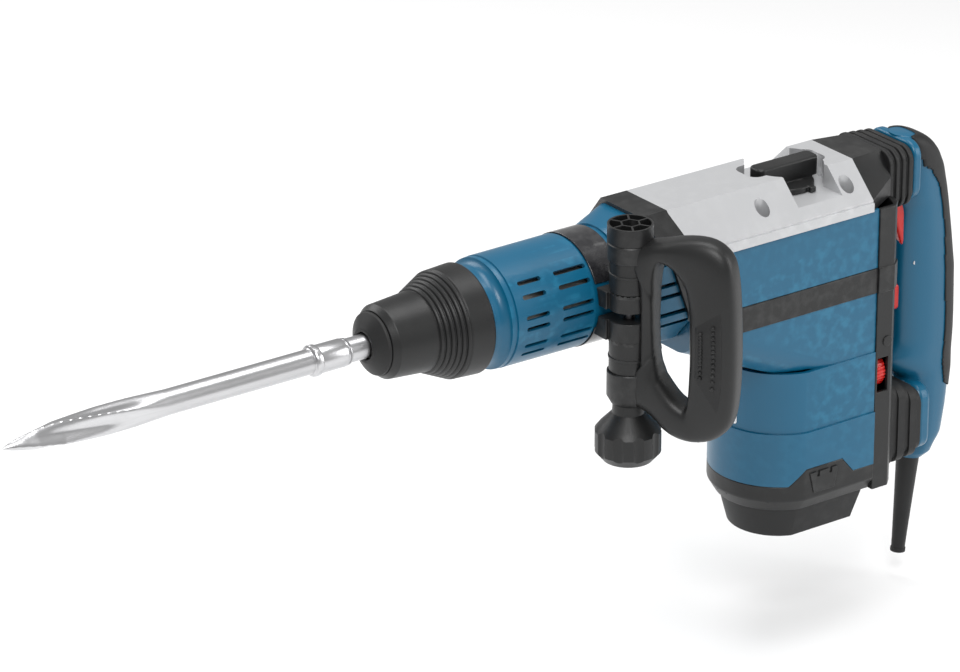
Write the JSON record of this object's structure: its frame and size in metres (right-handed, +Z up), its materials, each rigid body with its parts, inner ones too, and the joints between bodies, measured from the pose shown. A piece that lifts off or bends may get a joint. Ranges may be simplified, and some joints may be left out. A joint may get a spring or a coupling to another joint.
{
  "type": "electric jackhammer",
  "caption": "L-shaped electric demolition hammer with pointed chisel, locking sleeve, slotted barrel, swivelling D side handle and sprung D rear handle.",
  "frame": {"origin": "on the hammer axis, at the front of the nose", "axes": "+X along the hammer axis towards the rear handle, +Z up, motor hanging below, bit towards -X"},
  "size_m": [0.845, 0.1907, 0.3707],
  "materials": {
    "bit_steel": "forged and ground",
    "tool_steel": "ground",
    "spring_steel": "oiled",
    "screw_steel": "blackened",
    "band_steel": "gloss black",
    "cast_metal": "as cast",
    "silver_casting": "silver lacquer",
    "laminations": "stacked sheet",
    "copper": "enamelled wire",
    "black_plastic": "fine texture",
    "blue_plastic": "satin",
    "red_plastic": "satin",
    "black_rubber": "soft",
    "label_film": "printed film"
  },
  "bodies": {
    "housing": {"barrel_guard": "blue_plastic", "holder_bearing": "tool_steel", "hammer_casing": "cast_metal", "hammer_tube": "tool_steel", "ball_bearings": "tool_steel", "bearing_plates": "cast_metal", "stator": "laminations", "field_coils": "copper", "brush_holders": "copper", "neck_housing": "blue_plastic", "front_cover": "black_plastic", "gear_housing": "silver_casting", "housing_screws": "screw_steel", "motor_housing": "blue_plastic", "side_belts": "black_plastic", "end_cap": "black_plastic", "base_foot": "black_rubber", "brush_covers": "black_plastic", "rating_plate": "label_film", "rear_collar": "black_plastic", "rear_cover": "black_plastic", "cover_plugs": "black_plastic", "electronics_module": "black_plastic", "pivot_bracket": "cast_metal", "upper_bellows": "black_rubber", "lower_bellows": "black_rubber", "damper_spring": "spring_steel"},
    "tool_holder": {"tool_holder": "tool_steel", "locking_bars": "tool_steel", "dust_cap": "black_rubber", "sleeve_spring": "spring_steel"},
    "bit": {"chisel": "bit_steel"},
    "sleeve": {"lock_sleeve": "black_plastic"},
    "impact_bolt": {"impact_bolt": "tool_steel"},
    "striker": {"striker": "tool_steel"},
    "piston": {"piston": "cast_metal", "wrist_pin": "tool_steel"},
    "rod": {"connecting_rod": "cast_metal"},
    "crank": {"crank_gear": "tool_steel", "crank_shaft": "tool_steel"},
    "armature": {"armature": "laminations", "commutator": "copper", "cooling_fan": "black_plastic"},
    "selector": {"selector_knob": "black_plastic"},
    "side_clamp": {"clamp_band": "band_steel", "upper_jaw": "black_plastic", "lower_jaw": "black_plastic", "clamp_bolt": "screw_steel", "bolt_cap": "black_plastic"},
    "side_handle": {"side_handle": "black_plastic", "side_grip_pads": "black_rubber"},
    "clamp_knob": {"clamp_knob": "black_plastic"},
    "rear_handle": {"rear_handle": "blue_plastic", "rear_grip_pad": "black_rubber", "pivot_pins": "tool_steel", "power_switch": "black_plastic", "cable_boot": "black_rubber"},
    "trigger": {"trigger": "red_plastic"},
    "lock_button": {"lock_button": "red_plastic"},
    "speed_wheel": {"speed_wheel": "red_plastic"}
  },
  "joints": [
    {"name": "holder_turn", "type": "hinge", "parent": "housing", "child": "tool_holder", "pos_m": [0, 0, 0], "axis": [1, 0, 0], "continuous": true},
    {"name": "bit_slide", "type": "slide", "parent": "tool_holder", "child": "bit", "axis": [-1, 0, 0], "range_m": [0, 0.008]},
    {"name": "sleeve_slide", "type": "slide", "parent": "tool_holder", "child": "sleeve", "axis": [1, 0, 0], "range_m": [0, 0.005], "stiffness_N_per_m": 2500, "springref_m": -0.004, "deforming": ["sleeve_spring"]},
    {"name": "impact_slide", "type": "slide", "parent": "housing", "child": "impact_bolt", "axis": [-1, 0, 0], "range_m": [0, 0.006]},
    {"name": "striker_slide", "type": "slide", "parent": "housing", "child": "striker", "axis": [-1, 0, 0], "range_m": [0, 0.036]},
    {"name": "piston_slide", "type": "slide", "parent": "housing", "child": "piston", "axis": [-1, 0, 0], "range_m": [0, 0.032]},
    {"name": "rod_swing", "type": "hinge", "parent": "piston", "child": "rod", "pos_m": [0.286, 0, 0], "axis": [0, 0, 1], "range_deg": [-11, 11]},
    {"name": "crank_turn", "type": "hinge", "parent": "housing", "child": "crank", "pos_m": [0.352, 0, -0.058], "axis": [0, 0, 1], "continuous": true},
    {"name": "armature_turn", "type": "hinge", "parent": "housing", "child": "armature", "pos_m": [0.392, 0, -0.058], "axis": [0, 0, 1], "continuous": true},
    {"name": "selector_turn", "type": "hinge", "parent": "housing", "child": "selector", "pos_m": [0.381, 0, 0.034], "axis": [0, 0, 1], "range_deg": [-90, 0]},
    {"name": "clamp_turn", "type": "hinge", "parent": "housing", "child": "side_clamp", "pos_m": [0.188, 0, 0], "axis": [1, 0, 0], "range_deg": [-60, 90]},
    {"name": "side_handle_turn", "type": "hinge", "parent": "side_clamp", "child": "side_handle", "pos_m": [0.1925, -0.0583, 0], "axis": [0, 0, 1], "range_deg": [-75, 30]},
    {"name": "knob_turn", "type": "hinge", "parent": "side_clamp", "child": "clamp_knob", "pos_m": [0.1925, -0.0583, -0.09], "axis": [0, 0, 1], "continuous": true},
    {"name": "rear_handle_swing", "type": "hinge", "parent": "housing", "child": "rear_handle", "pos_m": [0.478, 0, -0.18], "axis": [0, 1, 0], "range_deg": [0, 1.2], "stiffness_Nm_per_rad": 600, "deforming": ["upper_bellows", "lower_bellows", "damper_spring"]},
    {"name": "trigger_pull", "type": "hinge", "parent": "rear_handle", "child": "trigger", "pos_m": [0.502, 0, -0.054], "axis": [0, 1, 0], "range_deg": [0, 6.5], "stiffness_Nm_per_rad": 2, "springref_deg": -5.73},
    {"name": "lock_button_press", "type": "slide", "parent": "rear_handle", "child": "lock_button", "axis": [1, 0, 0], "range_m": [0, 0.003], "stiffness_N_per_m": 800, "springref_m": -0.002},
    {"name": "speed_wheel_turn", "type": "hinge", "parent": "housing", "child": "speed_wheel", "pos_m": [0.441, -0.0345, -0.118], "axis": [1, 0, 0], "range_deg": [0, 270]}
  ],
  "couplings": [
    {"joint": "armature_turn", "follows": "crank_turn", "ratio": -7},
    {"joint": "impact_slide", "follows": "bit_slide", "ratio": 0.75}
  ]
}
